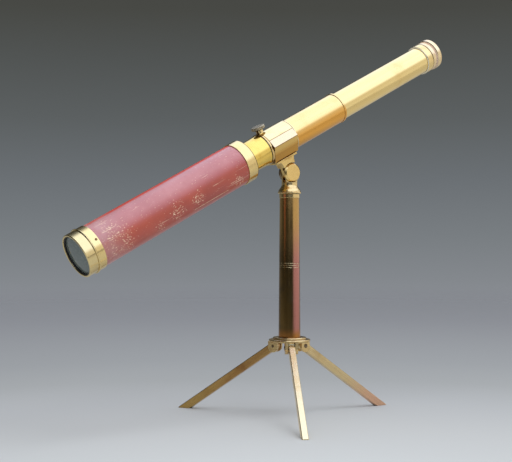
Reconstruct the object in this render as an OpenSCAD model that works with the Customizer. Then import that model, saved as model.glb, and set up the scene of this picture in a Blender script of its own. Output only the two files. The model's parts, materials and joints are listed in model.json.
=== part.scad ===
// Brass refracting telescope on a turned pillar with three folding legs.
// The tube lies in the XZ plane with its objective towards -X and pointing down.
// The origin is on the floor, under the middle of the whole instrument.

/* [Legs] */
// Height of the leg hinges above the floor
leg_root_z = 85; // [78:1:92]
// Distance of the leg hinges from the pillar axis
leg_root_r = 19.2; // [18:0.1:21]
// Slope of the legs below level
leg_angle = 33.9; // [31:0.1:37]
// Width of a leg's eye along its hinge pin
leg_w = 7.8; // [6.8:0.1:8.6]
// Depth of a leg bar
leg_d = 9.6; // [8.4:0.1:10.4]
// Radius of the eye at the upper end of a leg
leg_eye_r = 5.4; // [5:0.1:6]
// Length of the squared shoulder that stops a leg against the flange
leg_stop = 4; // [3.4:0.1:4.6]
// Width of the small flats along the edges of a leg
leg_edge = 0.6; // [0.4:0.1:0.8]
// Length taken off the thin tip of each foot
foot_trim = 1.5; // [1:0.1:2.5]
// Diameter of the leg hinge pins
leg_pin_d = 3.2; // [2.6:0.1:3.8]

/* [Tripod hub] */
// Thickness of one ear beside a leg
ear_t = 3.5; // [3:0.1:4]
// Radius of the round lower end of an ear
ear_r = 6.2; // [5.8:0.1:6.8]
// Distance of the ear's round end below the hinge
ear_drop = 1.6; // [1:0.1:2]
// Thickness of the broad flange
flange_t = 3.3; // [2.8:0.1:4]
// Thickness of the upper step of the hub
step_t = 2.5; // [2:0.1:3.5]
// Width of the ledge between the broad flange and the upper step
step_ledge = 4.9; // [3.5:0.1:6]
// Length of the hub's plug inside the pillar
hub_plug = 10; // [8:0.5:14]

/* [Pillar] */
// Length of the pillar between the hub and its top bush
pillar_len = 169.6; // [150:0.5:190]
// Diameter at the foot of the pillar
pillar_foot_d = 26.9; // [26:0.1:28.5]
// Diameter at the top of the pillar
pillar_top_d = 24.1; // [23.6:0.1:25.4]
// Wall of the pillar at its top
pillar_wall = 2; // [1.6:0.1:2.4]
// Height of the middle turned line above the pillar's foot
line_z = 87.7; // [60:0.5:110]
// Spacing of the three turned lines
line_pitch = 2.4; // [2:0.1:3.5]
// Depth of a turned line
line_depth = 0.3; // [0.2:0.05:0.4]

/* [Swivel] */
// Diameter of the rim of the pillar's top bush
bush_rim_d = 25.2; // [24.8:0.1:26.4]
// Thickness of the rim of the top bush
bush_rim_t = 5.1; // [4.4:0.1:6]
// Length of the top bush inside the pillar
bush_plug = 12; // [10:0.5:16]
// Diameter of the swivel spindle
spindle_d = 8; // [7:0.1:9]
// Depth of the spindle's thread in the head
spindle_grip = 9; // [7:0.5:10]
// Thickness of the nut on the spindle
spindle_nut_t = 5; // [4:0.5:7]

/* [Head] */
// Height of the tilt hinge above the underside of the head
head_h = 25.8; // [24.5:0.1:28]
// Diameter of the rim of the bell
bell_d = 28.6; // [27.4:0.1:30]
// Thickness of the rim of the bell
bell_rim_t = 2.4; // [1.8:0.1:3.2]
// Height from the underside of the head to its narrow neck
bell_h = 10.8; // [10:0.1:11.6]
// Diameter of the neck under the fork
neck_d = 19.4; // [18.8:0.1:20.6]
// Thickness of one cheek of the fork
cheek_t = 2.4; // [2:0.1:2.7]
// Radius of the round end of a cheek
cheek_r = 8.8; // [8.4:0.1:9.2]
// Thickness of the bracket's tongue between the cheeks
tongue_t = 4.6; // [4:0.1:5.2]
// Diameter of the tilt hinge pin
pin_d = 6; // [5:0.1:7]
// Diameter of the round head of the hinge pin
pin_head_d = 23.6; // [22:0.1:24]
// Thickness of the head of the hinge pin
pin_head_t = 2.8; // [2.2:0.1:3.4]
// Bevel round the head of the hinge pin
pin_head_bevel = 1.9; // [1.2:0.1:2]
// Diameter of the round hinge nut
nut_d = 20.4; // [16:0.1:21]
// Thickness of the hinge nut
nut_t = 4; // [3:0.1:5]
// Width of the key slot across the hinge nut
nut_slot = 1.8; // [1.2:0.1:2.4]
// Length of the hinge pin's end past its nut
pin_tail = 1; // [0.5:0.1:2]

/* [Tube attitude] */
// Angle of the tube below level, objective down
tube_tilt = 27.3; // [20:0.1:34]
// Distance from the tilt hinge to the optical axis
hinge_drop = 41.7; // [40:0.1:45]

/* [Draw tube] */
// Outer diameter of the draw tube
draw_d = 35.6; // [34:0.1:36.4]
// Wall of the draw tube
draw_wall = 0.9; // [0.7:0.1:1.2]
// Length of draw tube that shows behind the guide tube
draw_out = 159; // [120:1:165]
// Length by which the draw tube can still be pulled out
draw_more = 12; // [6:0.5:20]
// Length of the stop ring at the inner end of the draw tube
stop_len = 5; // [4:0.1:7]
// Height of the stop ring above the draw tube
stop_step = 2.2; // [1.8:0.1:2.6]

/* [Block and guide] */
// Length of the six-sided block in front of the tilt hinge
block_fore = 21.7; // [20:0.1:26]
// Length of the six-sided block behind the tilt hinge
block_aft = 16.6; // [15:0.1:20]
// Wall of the block at the middle of a flat
block_wall = 1.8; // [1.6:0.1:2.2]
// Length of round sleeve in front of the block's corners
band_fore = 2.9; // [2.4:0.1:4]
// Length of round sleeve behind the block's corners
band_aft = 1.6; // [1.2:0.1:2.5]
// Height of the round sleeve above the middle of a flat
sleeve_rise = 0.1; // [0.05:0.05:0.3]
// Wall of the guide tube
guide_wall = 1; // [0.95:0.05:1.2]
// Length of the guide tube behind the block
guide_len = 84.1; // [70:0.5:95]
// Length of the guide tube's thread inside the block
guide_grip = 8; // [6:0.5:10]
// Thickness of the ring on the end of the guide tube
ring_wall = 0.7; // [0.5:0.1:1]
// Length of the ring's skirt over the guide tube
ring_skirt = 1.8; // [1.4:0.1:3]
// Thickness of the ring's end
ring_end = 0.8; // [0.6:0.1:1.2]

/* [Neck and barrel] */
// Length of the neck between the rear ferrule and the block
tube_neck_len = 29.4; // [25:0.1:34]
// Wall of the neck at its narrow end
neck_wall = 0.7; // [0.6:0.05:0.8]
// Growth of the neck's radius towards the block
neck_flare = 1; // [0.7:0.1:1.1]
// Length of the neck's thread inside the block
neck_grip = 3.6; // [3:0.1:3.8]
// Outer diameter of the barrel
barrel_d = 50; // [48.5:0.1:54]
// Wall of the barrel
barrel_wall = 1.2; // [1:0.1:1.4]
// Length of barrel that shows between its ferrules
barrel_len = 207.9; // [195:0.5:240]
// Wall of the ferrules outside the barrel
ferrule_wall = 0.9; // [0.8:0.05:1.3]
// Length of the rear ferrule
rear_ferrule_len = 13.9; // [11:0.1:18]
// Thickness of the rear ferrule's end
rear_end_t = 3; // [2.4:0.1:4]
// Length of the threaded boss inside the rear ferrule's end
rear_boss_len = 3; // [2:0.1:4]
// Wall of the threaded boss inside the rear ferrule's end
rear_boss_wall = 2.4; // [1.6:0.1:3]
// Length of the front ferrule
front_ferrule_len = 9.3; // [8:0.1:13]
// Thickness of the front ferrule's end
front_end_t = 1.2; // [1:0.1:2]
// Distance of the light stop behind the front ferrule
stop_back = 14; // [10:0.5:20]
// Thickness of the light stop
stop_t = 1.2; // [0.8:0.1:2]
// Diameter of the hole in the light stop
stop_hole = 38; // [36:0.5:40]

/* [Ferrule screws] */
// Number of screws round the front ferrule
screw_count = 3; // [3:1:4]
// Angle of the first screw above the near side
screw_turn = 25; // [15:1:35]
// Distance of the screws from the front ferrule's rear edge
screw_back = 2.9; // [2.4:0.1:3.4]
// Diameter of a screw head
screw_head_d = 3; // [2.6:0.1:3.6]
// Diameter of a screw shank
screw_shank_d = 1.6; // [1.4:0.1:2]
// Height of a screw head above the ferrule
screw_proud = 0.35; // [0.2:0.05:0.6]

/* [Objective] */
// Length of the objective cell in front of its flange
cell_len = 11.4; // [11:0.1:16]
// Radius of the cell beyond the barrel's
cell_step = 0.6; // [0.4:0.1:1.2]
// Height of the flange above the cell
cell_flange_h = 1.4; // [1:0.1:2]
// Thickness of the flange
cell_flange_t = 1.3; // [1:0.1:2]
// Length of the cell's thread inside the barrel
cell_grip = 6; // [5:0.5:9]
// Wall of the cell round the lenses
cell_wall = 2.2; // [2:0.1:2.6]
// Width of the ledge that carries the lenses
lens_ledge = 1.1; // [0.9:0.1:1.5]
// Depth of the lens ring behind the front rim
ring_depth = 0.8; // [0.5:0.1:1]
// Thickness of the lens ring
lens_ring_t = 2; // [1.6:0.1:2.4]
// Edge thickness of the crown lens
crown_edge = 2.2; // [1.8:0.1:2.4]
// Bulge of the front of the crown lens
crown_front = 1.2; // [0.8:0.1:1.4]
// Bulge of the back of the crown lens
crown_back = 1.6; // [1.2:0.1:1.7]
// Thickness of the spacer ring between the lenses
spacer_t = 0.4; // [0.3:0.1:0.6]
// Edge thickness of the flint lens
flint_edge = 4; // [3.6:0.1:4.2]
// Extra hollow of the flint lens behind the crown lens
flint_extra = 0.1; // [0:0.05:0.3]

/* [Eyepiece] */
// Length of the collar on the draw tube
collar_len = 10.3; // [9:0.1:14]
// Height of the collar above the draw tube
collar_step = 1.7; // [1.5:0.1:2.2]
// Length of the draw tube's thread inside the collar
collar_grip = 7.5; // [6:0.1:8]
// Gap that shows between the collar and the eye cap
cap_gap = 0.4; // [0.2:0.1:0.8]
// Length of the eye cap's front band
cap_band = 5.3; // [4.5:0.1:6.5]
// Length of the groove round the eye cap
cap_groove = 3; // [2:0.1:4]
// Length of the flared lip of the eye cap
cap_lip = 6.6; // [6:0.1:8]
// Depth of the groove below the band
cap_groove_depth = 1.3; // [0.8:0.1:1.6]
// Height of the flared lip above the band
cap_flare = 0.9; // [0.5:0.1:1.5]
// Depth of the dish in the eye cap
dish_depth = 3.7; // [3:0.1:3.9]
// Diameter of the eye hole
eye_hole_d = 10; // [8:0.5:12]
// Outer diameter of the eyepiece's inner tube
eye_tube_d = 31; // [29:0.1:31.4]
// Wall of the eyepiece's inner tube
eye_tube_wall = 1.2; // [1:0.1:1.5]
// Length of the inner tube in front of the collar's back
eye_tube_len = 44; // [38:0.5:50]
// Length of the inner tube's thread inside the eye cap
eye_tube_grip = 6.5; // [5:0.1:7]
// Edge thickness of the field lens
field_edge = 2.4; // [2:0.1:3]
// Bulge of the field lens
field_bulge = 2; // [1.5:0.1:2.5]
// Distance of the field stop behind the field lens
field_stop_back = 18; // [12:0.5:24]
// Diameter of the hole in the field stop
field_stop_hole = 16; // [12:0.5:20]
// Diameter of the eye lens
eye_lens_d = 18; // [16:0.1:20]
// Edge thickness of the eye lens
eye_lens_edge = 2; // [1.6:0.1:2.2]
// Width of the flat border round the eye lens
lens_flat = 0.8; // [0.6:0.1:1.2]

/* [Erector] */
// Length of the erector cell
erector_len = 80; // [70:1:100]
// Wall of the erector cell
erector_wall = 2.2; // [1.8:0.1:2.6]
// Depth of each lens seat in the erector cell
erector_seat = 3.4; // [3:0.1:4]
// Width of the ledge behind an erector lens
erector_ledge = 1.2; // [1:0.1:1.6]
// Edge thickness of the erector lenses
erector_edge = 2.2; // [1.8:0.1:2.6]
// Bulge of the erector lenses
erector_bulge = 1.8; // [1.4:0.1:2.2]

/* [Lock screw] */
// Distance of the lock screw in front of the tilt hinge
lock_fore = 17.9; // [12:0.1:17.9]
// Diameter of the lock screw's knurled head
lock_head_d = 17; // [15:0.1:19]
// Thickness of the knurled head
lock_head_t = 3.6; // [3:0.1:4.4]
// Number of ridges round the knurled head
lock_ridges = 36; // [24:1:48]
// Depth of the grooves between the ridges
lock_groove = 0.4; // [0.2:0.05:0.5]
// Diameter of the lock screw's shank
lock_shank_d = 4; // [3.4:0.1:5]
// Diameter of the boss on the block
lock_boss_d = 9; // [8:0.1:10]
// Height of the boss above the flat of the block
lock_boss_h = 3.3; // [2.8:0.1:4]
// Height of the collar under the knurled head
lock_collar_h = 1; // [0.8:0.1:2]

/* [Bracket] */
// Length of the saddle plate in front of the tilt hinge
saddle_fore = 19.5; // [18:0.1:21]
// Length of the saddle plate behind the tilt hinge
saddle_aft = 13.5; // [13:0.1:16]
// Thickness of the saddle plate
saddle_t = 2.2; // [1.8:0.1:2.8]
// Width by which the saddle plate stands out beside the flat
saddle_lip = 1.1; // [0.6:0.1:2]
// Width of the web across the hinge
web_w = 14; // [12:0.1:15]
// Half length of the web where it meets the saddle plate
web_top = 13.4; // [11:0.1:13.4]
// Height of the web's lower corners above the tilt hinge
web_corner_z = 10; // [9.4:0.1:10.8]

/* [Clearances] */
// Radial clearance of a turning pin or sliding ring
run = 0.06; // [0.03:0.01:0.1]
// Radial clearance of threaded and pushed-in pieces
fit = 0.1; // [0.05:0.05:0.15]
// Gap between the end faces of seated pieces
seat = 0.1; // [0.05:0.05:0.15]
// Gap between faces that move past each other
gap = 0.3; // [0.2:0.05:0.4]

/* [Hidden] */
$fn = 96;

// Finishes
bright_brass = [0.86, 0.68, 0.30];
stand_brass = [0.45, 0.37, 0.20];
leg_brass = [0.62, 0.51, 0.27];
red_japan = [0.55, 0.22, 0.18];
black_brass = [0.09, 0.08, 0.07];
dark_steel = [0.20, 0.19, 0.18];
lens_glass = [0.62, 0.70, 0.66, 0.5];

// Small flats on turned edges
edge = 0.3;
// Broader flats on the rims of the stand and the corners of the saddle plate
rim_edge = 1;
// Length by which a cutting shape runs past the faces it cuts
past = 1;

// Heights of the stand, from the floor up
flange_z = leg_root_z + leg_eye_r + gap;
step_z = flange_z + flange_t;
pillar_z = step_z + step_t;
pillar_top_z = pillar_z + pillar_len;
bush_top_z = pillar_top_z + bush_rim_t;
head_z = bush_top_z + gap;
pin_z = head_z + head_h;

// Legs: the bar's top side runs on just below the top of the eye
bar_top = leg_eye_r - edge / 2;
bar_low = bar_top - leg_d;
bar_half = (leg_w - edge) / 2;
bar_len = (leg_root_z + bar_top * cos(leg_angle)) / sin(leg_angle) + leg_d;
foot_reach = leg_root_r + (leg_root_z + bar_top * cos(leg_angle)) / tan(leg_angle)
    + bar_top * sin(leg_angle) - foot_trim;
leg_turns = [0, 120, 240];
ear_gap = leg_w + 2 * gap;
flange_r = leg_root_r + ear_r;
step_r = flange_r - step_ledge;

// Swivel
pillar_bore_r = pillar_top_d / 2 - pillar_wall;
spindle_nut_z = pillar_top_z - bush_plug - gap - spindle_nut_t;
spindle_nut_r = pillar_bore_r - 2 * gap;

// Tilt hinge: half widths measured across the hinge pin
slot_half = tongue_t / 2 + gap;
cheek_half = slot_half + cheek_t;
tongue_r = cheek_r;
slot_floor = tongue_r + 2 * gap;
neck_top_h = head_h - max(slot_floor, pin_head_d / 2 + gap, nut_d / 2 + gap);
pin_end = cheek_half + seat + nut_t + pin_tail;

// Radii of the tube, from the draw tube outwards
draw_r = draw_d / 2;
draw_bore_r = draw_r - draw_wall;
slide_r = draw_r + gap;
neck_r = slide_r + neck_wall;
neck_wide_r = neck_r + neck_flare;
guide_r = slide_r + guide_wall;
guide_thread_r = guide_r - guide_wall / 3;
block_flat = slide_r + block_wall;
block_r = block_flat / cos(30);
sleeve_r = block_flat + sleeve_rise;
neck_thread_r = (slide_r + sleeve_r) / 2;
ring_r = guide_r + ring_wall;
barrel_r = barrel_d / 2;
barrel_bore_r = barrel_r - barrel_wall;
ferrule_r = barrel_r + fit + ferrule_wall;
cell_r = barrel_r + cell_step;
cell_bore_r = cell_r - cell_wall;
lens_r = cell_bore_r - fit;
cell_plug_r = barrel_bore_r - fit;
ledge_r = cell_bore_r - lens_ledge;
cell_flange_r = cell_r + cell_flange_h;

// Places along the tube, measured back from the foot of the hinge's perpendicular
band_x = -block_fore - band_fore;
block_end_x = block_aft + band_aft;
neck_x = band_x - tube_neck_len;
rear_ferrule_x = neck_x - rear_ferrule_len;
rear_end_x = neck_x - rear_end_t;
rear_boss_x = rear_end_x - rear_boss_len;
barrel_rear_x = rear_end_x - seat;
front_ferrule_rear_x = rear_ferrule_x - barrel_len;
front_ferrule_x = front_ferrule_rear_x - front_ferrule_len;
barrel_front_x = front_ferrule_x + front_end_t + seat;
cell_flange_x = front_ferrule_x - seat - cell_flange_t;
cell_x = cell_flange_x - cell_len;
lens_ring_x = cell_x + ring_depth;
crown_x = lens_ring_x + lens_ring_t + seat;
spacer_x = crown_x + crown_edge + seat;
flint_x = spacer_x + spacer_t + seat;
ledge_x = flint_x + flint_edge + seat;
guide_end_x = block_end_x + guide_len;
ring_end_x = guide_end_x + seat + ring_end;
collar_x = ring_end_x + draw_out;
collar_end_x = collar_x + collar_len;
draw_end_x = collar_x + collar_grip;
stop_ring_x = rear_boss_x - gap - draw_more - stop_len;
cap_x = collar_end_x + cap_gap;
cap_end_x = cap_x + cap_band + cap_groove + cap_lip;

// Eyepiece
collar_r = draw_r + collar_step;
cap_band_r = collar_r - seat;
cap_groove_r = cap_band_r - cap_groove_depth;
cap_lip_r = cap_band_r + cap_flare;
eye_tube_r = eye_tube_d / 2;
eye_tube_bore_r = eye_tube_r - eye_tube_wall;
eye_tube_x = collar_end_x - eye_tube_len;
eye_tube_end_x = cap_x + eye_tube_grip;
field_lens_x = eye_tube_x + field_bulge;
field_lens_r = eye_tube_bore_r + eye_tube_wall / 2;
field_stop_x = field_lens_x + field_edge + field_stop_back;
eye_lens_x = eye_tube_end_x + 2 * seat;
dish_x = cap_end_x - dish_depth;

// Erector
erector_r = draw_bore_r - fit;
erector_lens_r = erector_r - erector_wall;
erector_bore_r = erector_lens_r - erector_ledge;
erector_x = stop_ring_x + seat;

// The stand's axis is set so that the tips of the tube lie equally far from the origin
objective_reach = -cell_x * cos(tube_tilt) + (hinge_drop + cell_r) * sin(tube_tilt);
eyepiece_reach = cap_end_x * cos(tube_tilt) - (hinge_drop - cap_lip_r) * sin(tube_tilt);
stand_x = (objective_reach - eyepiece_reach) / 2;

// Carries a piece to the pillar's axis
module on_stand() {
    translate([stand_x, 0, 0]) children();
}

// Carries a piece drawn outwards along X to one of the three legs
module on_leg(turn) {
    on_stand() rotate([0, 0, turn]) children();
}

// Carries a piece to the tube: X runs back along the optical axis, Z upwards from it
module on_tube() {
    on_stand() translate([0, 0, pin_z]) rotate([0, -tube_tilt, 0]) translate([0, 0, hinge_drop]) children();
}

// Turns an outline of [radius, place] points about the X axis
module turned(outline) {
    rotate([0, 90, 0]) rotate_extrude() polygon(outline);
}

// A plain ring along X
module plain_ring(x, len, outer, inner) {
    turned([[inner, x], [outer, x], [outer, x + len], [inner, x + len]]);
}

// Outline of a ring along X with small flats on its outer edges
function ring_outline(x, len, outer, inner) = [
    [inner, x], [outer - edge, x], [outer, x + edge],
    [outer, x + len - edge], [outer - edge, x + len], [inner, x + len]
];

// A curved face from the axis to the rim, bulging towards -X by the given amount
function face_points(x, r, bulge, steps = 12) = [
    for (i = [0 : steps]) [r * i / steps, x - bulge * (1 - pow(i / steps, 2))]
];

// A curved face from the rim to the axis, bulging towards +X
function back_points(x, r, bulge, steps = 12) = [
    for (i = [0 : steps]) [r * (1 - i / steps), x + bulge * (1 - pow(1 - i / steps, 2))]
];

// A lens whose edge starts at x: curved inside the clear radius, with a flat border that its seats hold
module lens(x, r, clear, lens_edge, front, back) {
    turned(concat(
        face_points(x, clear, front),
        [[r, x], [r, x + lens_edge]],
        back_points(x + lens_edge, clear, back)
    ));
}

// A round bar across X, centred on the XZ plane
module cross_bar(r, len) {
    rotate([90, 0, 0]) cylinder(r = r, h = len, center = true);
}

module objective_cell() {
    color(bright_brass) on_tube() turned([
        [cell_bore_r, cell_x + edge], [cell_bore_r + edge, cell_x],
        [cell_r - 2 * edge, cell_x], [cell_r, cell_x + 2 * edge],
        [cell_r, cell_flange_x], [cell_flange_r - edge, cell_flange_x],
        [cell_flange_r, cell_flange_x + edge],
        [cell_flange_r, cell_flange_x + cell_flange_t - edge],
        [cell_flange_r - edge, cell_flange_x + cell_flange_t],
        [cell_plug_r, cell_flange_x + cell_flange_t],
        [cell_plug_r, front_ferrule_x + cell_grip],
        [ledge_r, front_ferrule_x + cell_grip],
        [ledge_r, ledge_x], [cell_bore_r, ledge_x]
    ]);
}

module lens_ring() {
    color(black_brass) on_tube() turned([
        [ledge_r + edge, lens_ring_x], [lens_r, lens_ring_x],
        [lens_r, lens_ring_x + lens_ring_t], [ledge_r, lens_ring_x + lens_ring_t],
        [ledge_r, lens_ring_x + edge]
    ]);
}

module crown_lens() {
    color(lens_glass) on_tube() lens(crown_x, lens_r, ledge_r, crown_edge, crown_front, crown_back);
}

module lens_spacer() {
    color(dark_steel) on_tube() plain_ring(spacer_x, spacer_t, lens_r, ledge_r);
}

// The hollow front of the flint lens follows the back of the crown lens
module flint_lens() {
    color(lens_glass) on_tube() lens(flint_x, lens_r, ledge_r, flint_edge, -crown_back - flint_extra, 0);
}

// Places something at each ferrule screw, drawn outwards along Z from the tube's axis
module at_screws() {
    for (i = [0 : screw_count - 1]) {
        translate([front_ferrule_rear_x - screw_back, 0, 0])
            rotate([90 - screw_turn + i * 360 / screw_count, 0, 0])
                children();
    }
}

module front_ferrule() {
    color(bright_brass) on_tube() difference() {
        turned([
            [cell_plug_r + fit, front_ferrule_x], [ferrule_r - edge, front_ferrule_x],
            [ferrule_r, front_ferrule_x + edge], [ferrule_r, front_ferrule_rear_x - edge],
            [ferrule_r - edge, front_ferrule_rear_x], [barrel_r + fit, front_ferrule_rear_x],
            [barrel_r + fit, front_ferrule_x + front_end_t],
            [cell_plug_r + fit, front_ferrule_x + front_end_t]
        ]);
        at_screws() cylinder(d = screw_shank_d + 2 * fit, h = ferrule_r + gap);
    }
}

module ferrule_screws() {
    color(bright_brass) on_tube() at_screws() difference() {
        union() {
            translate([0, 0, barrel_bore_r + fit])
                cylinder(d = screw_shank_d, h = ferrule_r - barrel_bore_r);
            translate([0, 0, ferrule_r + seat])
                cylinder(d1 = screw_head_d, d2 = screw_head_d - 2 * edge, h = screw_proud);
        }
        translate([0, 0, ferrule_r + seat + screw_proud])
            cube([screw_head_d + 2 * past, screw_head_d / 6, screw_proud], center = true);
    }
}

module barrel_tube() {
    color(red_japan) on_tube() difference() {
        turned([
            [barrel_bore_r, barrel_front_x], [barrel_r, barrel_front_x],
            [barrel_r, barrel_rear_x], [barrel_bore_r, barrel_rear_x]
        ]);
        at_screws() cylinder(d = screw_shank_d + 2 * fit, h = ferrule_r);
    }
}

module barrel_stop() {
    color(black_brass) on_tube()
        plain_ring(front_ferrule_rear_x + stop_back, stop_t, barrel_bore_r - fit, stop_hole / 2);
}

module rear_ferrule() {
    boss_r = neck_r + fit + rear_boss_wall;
    color(bright_brass) on_tube() turned([
        [neck_r + fit, neck_x], [ferrule_r - 2 * edge, neck_x], [ferrule_r, neck_x - 2 * edge],
        [ferrule_r, rear_ferrule_x + edge], [ferrule_r - edge, rear_ferrule_x],
        [barrel_r + fit, rear_ferrule_x], [barrel_r + fit, rear_end_x],
        [boss_r, rear_end_x], [boss_r, rear_boss_x], [neck_r + fit, rear_boss_x]
    ]);
}

// The neck widens in a hollow curve towards the block
module tube_neck() {
    steps = 12;
    plain = tube_neck_len / 6;
    flare = [for (i = [0 : steps]) [
        neck_wide_r - neck_flare * cos(90 * i / steps),
        neck_x + plain + (tube_neck_len - plain - seat) * sin(90 * i / steps)
    ]];
    color(bright_brass) on_tube() turned(concat(
        [[slide_r, rear_boss_x], [neck_r, rear_boss_x]],
        flare,
        [[neck_thread_r, band_x - seat], [neck_thread_r, band_x + neck_grip], [slide_r, band_x + neck_grip]]
    ));
}

// The block's corners: a six-sided bar with turned ends, taken off above the middle of its upper side flats
module block_bar() {
    over = block_r + 2 * edge;
    under = block_r - 2 * edge;
    bevel = over - under;
    intersection() {
        translate([-block_fore, 0, 0]) rotate([0, 90, 0]) rotate([0, 0, 30])
            cylinder(r = block_r, h = block_fore + block_aft, $fn = 6);
        turned([
            [0, -block_fore], [under, -block_fore], [over, -block_fore + bevel],
            [over, block_aft - bevel], [under, block_aft], [0, block_aft]
        ]);
        translate([-block_fore - past, -block_r - past, -block_r - past])
            cube([block_fore + block_aft + 2 * past, 2 * (block_r + past), block_r + past + block_flat / 2]);
    }
}

// Sleeve that joins the neck to the guide tube, with the block's corners on its sides and underside
module tube_block() {
    color(bright_brass) on_tube() difference() {
        union() {
            block_bar();
            turned([
                [0, band_x], [sleeve_r - edge, band_x], [sleeve_r, band_x + edge],
                [sleeve_r, block_end_x - edge], [sleeve_r - edge, block_end_x], [0, block_end_x]
            ]);
            translate([-lock_fore, 0, slide_r]) cylinder(d = lock_boss_d, h = block_wall + lock_boss_h);
        }
        plain_ring(band_x - past, block_end_x - band_x + 2 * past, slide_r, 0);
        plain_ring(band_x - past, neck_grip + seat + past, neck_thread_r + fit, 0);
        plain_ring(block_end_x - guide_grip - seat, guide_grip + seat + past, guide_thread_r + fit, 0);
        translate([-lock_fore, 0, 0]) cylinder(r = lock_shank_d / 2 + run, h = block_flat + lock_boss_h + past);
    }
}

module guide_tube() {
    color(bright_brass) on_tube() turned([
        [slide_r, block_end_x - guide_grip], [guide_thread_r, block_end_x - guide_grip],
        [guide_thread_r, block_end_x + seat], [guide_r, block_end_x + seat],
        [guide_r, guide_end_x], [slide_r, guide_end_x]
    ]);
}

// Cap on the end of the guide tube, bored to carry the draw tube
module guide_ring() {
    color(bright_brass) on_tube() turned([
        [guide_r + fit, guide_end_x - ring_skirt], [ring_r - edge, guide_end_x - ring_skirt],
        [ring_r, guide_end_x - ring_skirt + edge], [ring_r, ring_end_x - edge],
        [ring_r - edge, ring_end_x], [draw_r + run, ring_end_x],
        [draw_r + run, guide_end_x + seat], [guide_r + fit, guide_end_x + seat]
    ]);
}

// Saddle plate under the block, with a web that narrows to the hinge tongue
module tilt_bracket() {
    web_z = hinge_drop - sleeve_r - seat - saddle_t;
    plate_half = block_r / 2 + saddle_lip;
    hollow_r = max(pin_head_d, nut_d) / 2 + 2 * gap;
    steps = 8;
    side = [for (i = [0 : steps]) [
        web_top - (web_top - tongue_r) * sin(90 * i / steps),
        web_z - (web_z - web_corner_z) * (1 - cos(90 * i / steps))
    ]];
    color(bright_brass) on_tube() translate([0, 0, -hinge_drop]) difference() {
        union() {
            translate([0, 0, web_z]) linear_extrude(saddle_t) polygon([
                [-saddle_fore + rim_edge, -plate_half], [saddle_aft - rim_edge, -plate_half],
                [saddle_aft, -plate_half + rim_edge], [saddle_aft, plate_half - rim_edge],
                [saddle_aft - rim_edge, plate_half], [-saddle_fore + rim_edge, plate_half],
                [-saddle_fore, plate_half - rim_edge], [-saddle_fore, -plate_half + rim_edge]
            ]);
            difference() {
                rotate([90, 0, 0]) linear_extrude(web_w, center = true) polygon(concat(
                    [[-web_top, web_z + edge], [web_top, web_z + edge]],
                    side,
                    [for (i = [steps : -1 : 0]) [-side[i][0], side[i][1]]]
                ));
                cross_bar(hollow_r, web_w + 2 * past);
            }
            cross_bar(tongue_r, tongue_t);
            translate([-tongue_r, -tongue_t / 2, 0]) cube([2 * tongue_r, tongue_t, hollow_r + 2 * edge]);
        }
        cross_bar(pin_d / 2 + run, tongue_t + 2 * past);
    }
}

module draw_tube() {
    color(bright_brass) on_tube()
        plain_ring(stop_ring_x, draw_end_x - stop_ring_x, draw_r, draw_bore_r);
}

module draw_stop_ring() {
    color(black_brass) on_tube()
        turned(ring_outline(stop_ring_x, stop_len, draw_r + stop_step, draw_r + fit));
}

module erector_cell() {
    color(black_brass) on_tube() turned([
        [erector_lens_r, erector_x], [erector_r, erector_x],
        [erector_r, erector_x + erector_len], [erector_lens_r, erector_x + erector_len],
        [erector_lens_r, erector_x + erector_len - erector_seat],
        [erector_bore_r, erector_x + erector_len - erector_seat],
        [erector_bore_r, erector_x + erector_seat], [erector_lens_r, erector_x + erector_seat]
    ]);
}

module erector_front_lens() {
    x = erector_x + erector_seat - seat - erector_edge;
    color(lens_glass) on_tube() lens(x, erector_lens_r - fit, erector_bore_r, erector_edge, 0, erector_bulge);
}

module erector_rear_lens() {
    x = erector_x + erector_len - erector_seat + seat;
    color(lens_glass) on_tube() lens(x, erector_lens_r - fit, erector_bore_r, erector_edge, erector_bulge, 0);
}

// Beaded collar on the end of the draw tube, which holds the eyepiece
module eyepiece_collar() {
    bead = 3 * edge;
    color(bright_brass) on_tube() turned([
        [draw_r + fit, collar_x], [collar_r - bead, collar_x], [collar_r - edge, collar_x + edge],
        [collar_r, collar_x + bead], [collar_r, collar_end_x - bead],
        [collar_r - edge, collar_end_x - edge], [collar_r - bead, collar_end_x],
        [eye_tube_r + fit, collar_end_x], [eye_tube_r + fit, draw_end_x + seat],
        [draw_r + fit, draw_end_x + seat]
    ]);
}

module eyepiece_tube() {
    seat_x = field_lens_x + field_edge + seat;
    color(black_brass) on_tube() turned([
        [field_lens_r + fit, eye_tube_x], [eye_tube_r, eye_tube_x],
        [eye_tube_r, eye_tube_end_x], [eye_tube_bore_r, eye_tube_end_x],
        [eye_tube_bore_r, seat_x], [field_lens_r + fit, seat_x]
    ]);
}

module field_lens() {
    color(lens_glass) on_tube() lens(field_lens_x, field_lens_r, eye_tube_bore_r, field_edge, field_bulge, 0);
}

module field_stop() {
    color(black_brass) on_tube()
        plain_ring(field_stop_x, stop_t, eye_tube_bore_r - fit, field_stop_hole / 2);
}

module eye_lens() {
    r = eye_lens_d / 2;
    color(lens_glass) on_tube() lens(eye_lens_x, r, r - lens_flat, eye_lens_edge, eye_lens_edge, 0);
}

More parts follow.
